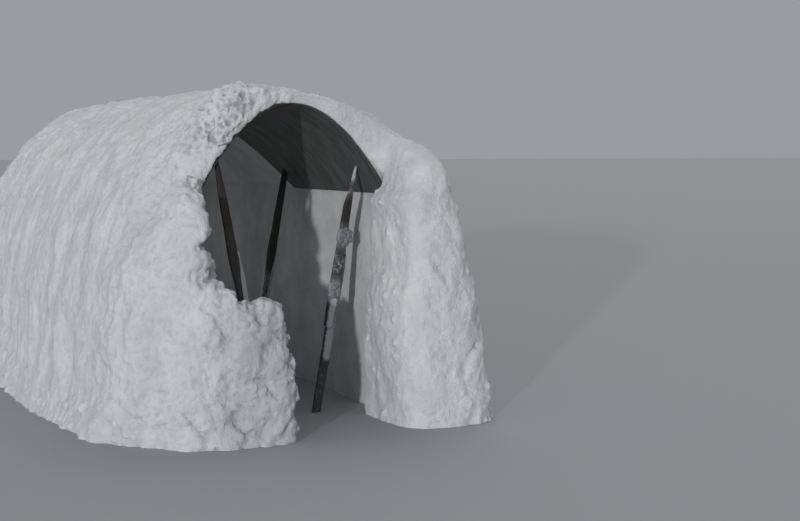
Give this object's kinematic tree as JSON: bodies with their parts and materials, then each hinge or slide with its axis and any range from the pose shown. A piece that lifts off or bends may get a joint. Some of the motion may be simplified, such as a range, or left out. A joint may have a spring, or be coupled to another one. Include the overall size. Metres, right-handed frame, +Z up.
{
  "type": "snow igloo, barrel-vaulted",
  "caption": "Barrel-vaulted igloo of packed snow over a bent form sheet held up by lapped board props, open at the front.",
  "frame": {"origin": "middle of the igloo's plan, at floor level", "axes": "+Z up, -Y out of the doorway, +X to the right as seen from the doorway"},
  "size_m": [2.86, 5.17, 2.0417],
  "materials": {
    "packed_snow": "packed, shovelled snow",
    "form_sheet": "dark stained, frosted",
    "prop_boards": "dark, weathered, rimed"
  },
  "bodies": {
    "root": {"left_wall_1": "packed_snow", "left_wall_2": "packed_snow", "left_wall_3": "packed_snow", "left_wall_4": "packed_snow", "left_wall_5": "packed_snow", "right_wall_1": "packed_snow", "right_wall_2": "packed_snow", "right_wall_3": "packed_snow", "right_wall_4": "packed_snow", "right_wall_5": "packed_snow", "vault_1": "packed_snow", "vault_2": "packed_snow", "vault_3": "packed_snow", "vault_4": "packed_snow", "vault_5": "packed_snow", "rear_wall": "packed_snow", "low_front_wall": "packed_snow", "left_shoulder": "packed_snow", "right_pier_base": "packed_snow", "right_pier_top": "packed_snow", "form_sheet": "form_sheet", "front_right_prop_foot": "prop_boards", "front_right_prop_head": "prop_boards", "front_left_prop_foot": "prop_boards", "front_left_prop_head": "prop_boards", "back_right_prop_foot": "prop_boards", "back_right_prop_head": "prop_boards", "back_left_prop_foot": "prop_boards", "back_left_prop_head": "prop_boards"}
  },
  "joints": []
}
